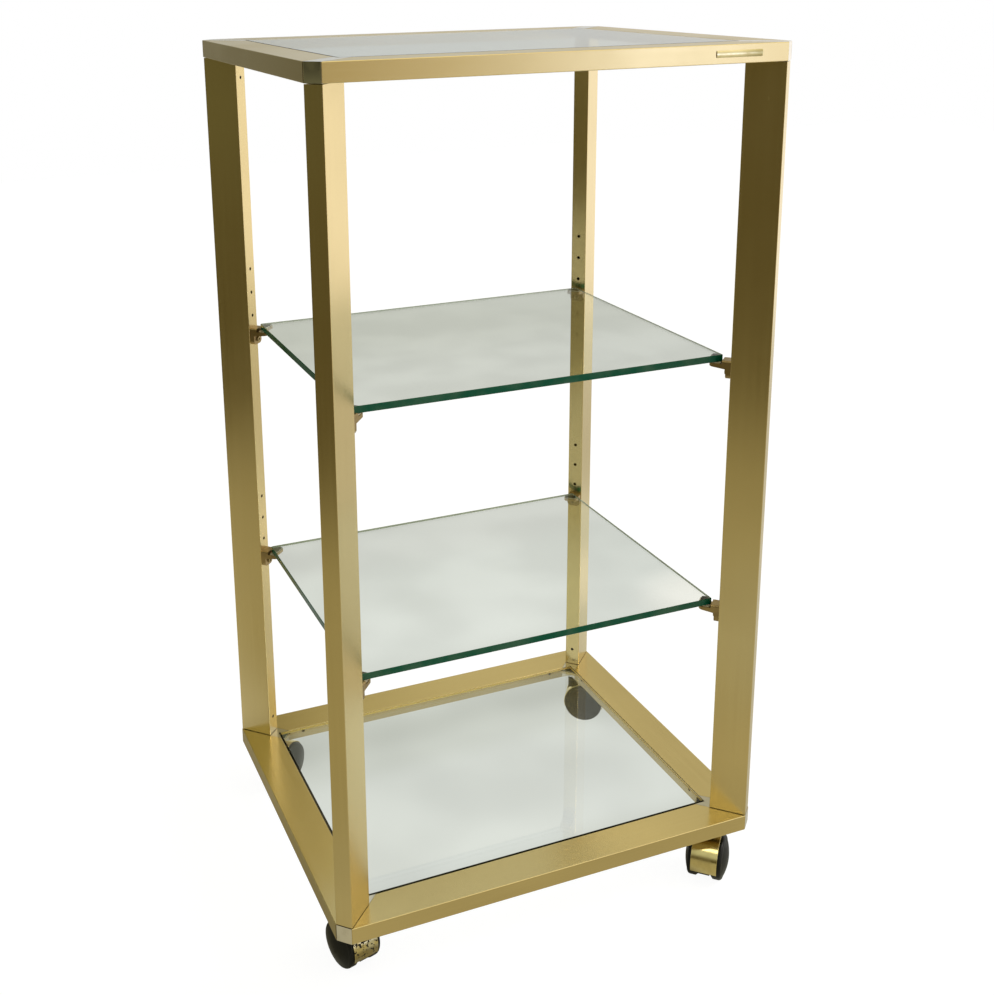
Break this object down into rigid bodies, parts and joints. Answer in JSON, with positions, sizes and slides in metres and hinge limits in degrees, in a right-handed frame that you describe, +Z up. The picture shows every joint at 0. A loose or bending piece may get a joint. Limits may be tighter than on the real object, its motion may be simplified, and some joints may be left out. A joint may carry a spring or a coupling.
{
  "type": "rolling shelf unit",
  "caption": "Tall open shelf unit of gold rectangular tube with posts set on the corner diagonals, clear glass shelves on small brackets and hooded twin-wheel casters.",
  "frame": {"origin": "on the floor under the middle of the frame", "axes": "+X to the unit's right, +Y to its back, +Z up"},
  "size_m": [0.5516, 0.4638, 1.0225],
  "materials": {
    "gold_tube": "satin gold anodised, brushed lengthwise",
    "casting_metal": "polished champagne",
    "bracket_bronze": "satin bronze",
    "bracket_screw": "plated",
    "dark_screw": "blackened",
    "pad_vinyl": "matte soft vinyl",
    "shelf_glass": "clear float, polished green edge",
    "stem_steel": "zinc plated",
    "caster_black": "moulded",
    "wheel_black": "moulded satin",
    "hood_brass": "polished",
    "hood_worn": "polished, plating spotted with wear"
  },
  "bodies": {
    "frame": {"bottom_front_rail": "gold_tube", "bottom_right_rail": "gold_tube", "bottom_back_rail": "gold_tube", "bottom_left_rail": "gold_tube", "top_front_rail": "gold_tube", "top_right_rail": "gold_tube", "top_back_rail": "gold_tube", "top_left_rail": "gold_tube", "front_left_post": "gold_tube", "front_right_post": "gold_tube", "back_right_post": "gold_tube", "back_left_post": "gold_tube", "bottom_front_left_casting": "casting_metal", "bottom_front_right_casting": "casting_metal", "bottom_back_right_casting": "casting_metal", "bottom_back_left_casting": "casting_metal", "top_front_left_casting": "casting_metal", "top_front_right_casting": "casting_metal", "top_back_right_casting": "casting_metal", "top_back_left_casting": "casting_metal", "lower_front_left_bracket": "bracket_bronze", "lower_front_right_bracket": "bracket_bronze", "lower_back_right_bracket": "bracket_bronze", "lower_back_left_bracket": "bracket_bronze", "upper_front_left_bracket": "bracket_bronze", "upper_front_right_bracket": "bracket_bronze", "upper_back_right_bracket": "bracket_bronze", "upper_back_left_bracket": "bracket_bronze", "bracket_screws": "bracket_screw", "glass_pads": "pad_vinyl", "connector_screws": "dark_screw", "front_left_caster_stem": "stem_steel", "front_right_caster_stem": "stem_steel", "back_right_caster_stem": "stem_steel", "back_left_caster_stem": "stem_steel"},
    "front_left_caster": {"front_left_caster_body": "caster_black", "front_left_caster_hood": "hood_worn", "front_left_caster_axle": "stem_steel"},
    "front_left_left_wheel": {"front_left_caster_left_wheel": "wheel_black"},
    "front_left_right_wheel": {"front_left_caster_right_wheel": "wheel_black"},
    "front_right_caster": {"front_right_caster_body": "caster_black", "front_right_caster_hood": "hood_brass", "front_right_caster_axle": "stem_steel"},
    "front_right_left_wheel": {"front_right_caster_left_wheel": "wheel_black"},
    "front_right_right_wheel": {"front_right_caster_right_wheel": "wheel_black"},
    "back_right_caster": {"back_right_caster_body": "caster_black", "back_right_caster_hood": "hood_brass", "back_right_caster_axle": "stem_steel"},
    "back_right_left_wheel": {"back_right_caster_left_wheel": "wheel_black"},
    "back_right_right_wheel": {"back_right_caster_right_wheel": "wheel_black"},
    "back_left_caster": {"back_left_caster_body": "caster_black", "back_left_caster_hood": "hood_brass", "back_left_caster_axle": "stem_steel"},
    "back_left_left_wheel": {"back_left_caster_left_wheel": "wheel_black"},
    "back_left_right_wheel": {"back_left_caster_right_wheel": "wheel_black"},
    "top_glass": {"top_glass": "shelf_glass"},
    "upper_shelf": {"upper_shelf": "shelf_glass"},
    "lower_shelf": {"lower_shelf": "shelf_glass"},
    "bottom_glass": {"bottom_glass": "shelf_glass"}
  },
  "joints": [
    {"name": "front_left_swivel", "type": "hinge", "parent": "frame", "child": "front_left_caster", "pos_m": [-0.23268, -0.18568, 0.0635], "axis": [0, 0, 1], "continuous": true},
    {"name": "front_left_left_wheel_spin", "type": "hinge", "parent": "front_left_caster", "child": "front_left_left_wheel", "pos_m": [-0.23773, -0.16685, 0.0275], "axis": [0.9659, 0.2588, 0], "continuous": true},
    {"name": "front_left_right_wheel_spin", "type": "hinge", "parent": "front_left_caster", "child": "front_left_right_wheel", "pos_m": [-0.23773, -0.16685, 0.0275], "axis": [0.9659, 0.2588, 0], "continuous": true},
    {"name": "front_right_swivel", "type": "hinge", "parent": "frame", "child": "front_right_caster", "pos_m": [0.23268, -0.18568, 0.0635], "axis": [0, 0, 1], "continuous": true},
    {"name": "front_right_left_wheel_spin", "type": "hinge", "parent": "front_right_caster", "child": "front_right_left_wheel", "pos_m": [0.21914, -0.19971, 0.0275], "axis": [-0.7193, 0.6947, 0], "continuous": true},
    {"name": "front_right_right_wheel_spin", "type": "hinge", "parent": "front_right_caster", "child": "front_right_right_wheel", "pos_m": [0.21914, -0.19971, 0.0275], "axis": [-0.7193, 0.6947, 0], "continuous": true},
    {"name": "back_right_swivel", "type": "hinge", "parent": "frame", "child": "back_right_caster", "pos_m": [0.23268, 0.18568, 0.0635], "axis": [0, 0, 1], "continuous": true},
    {"name": "back_right_left_wheel_spin", "type": "hinge", "parent": "back_right_caster", "child": "back_right_left_wheel", "pos_m": [0.24846, 0.17422, 0.0275], "axis": [-0.5878, -0.809, 0], "continuous": true},
    {"name": "back_right_right_wheel_spin", "type": "hinge", "parent": "back_right_caster", "child": "back_right_right_wheel", "pos_m": [0.24846, 0.17422, 0.0275], "axis": [-0.5878, -0.809, 0], "continuous": true},
    {"name": "back_left_swivel", "type": "hinge", "parent": "frame", "child": "back_left_caster", "pos_m": [-0.23268, 0.18568, 0.0635], "axis": [0, 0, 1], "continuous": true},
    {"name": "back_left_left_wheel_spin", "type": "hinge", "parent": "back_left_caster", "child": "back_left_left_wheel", "pos_m": [-0.21819, 0.19873, 0.0275], "axis": [0.6691, -0.7431, 0], "continuous": true},
    {"name": "back_left_right_wheel_spin", "type": "hinge", "parent": "back_left_caster", "child": "back_left_right_wheel", "pos_m": [-0.21819, 0.19873, 0.0275], "axis": [0.6691, -0.7431, 0], "continuous": true},
    {"name": "top_glass_lift", "type": "slide", "parent": "frame", "child": "top_glass", "axis": [0, 0, 1], "range_m": [0, 0.06]},
    {"name": "upper_shelf_lift", "type": "slide", "parent": "frame", "child": "upper_shelf", "axis": [0, 0, 1], "range_m": [0, 0.06]},
    {"name": "lower_shelf_lift", "type": "slide", "parent": "frame", "child": "lower_shelf", "axis": [0, 0, 1], "range_m": [0, 0.06]},
    {"name": "bottom_glass_lift", "type": "slide", "parent": "frame", "child": "bottom_glass", "axis": [0, 0, 1], "range_m": [0, 0.06]}
  ]
}
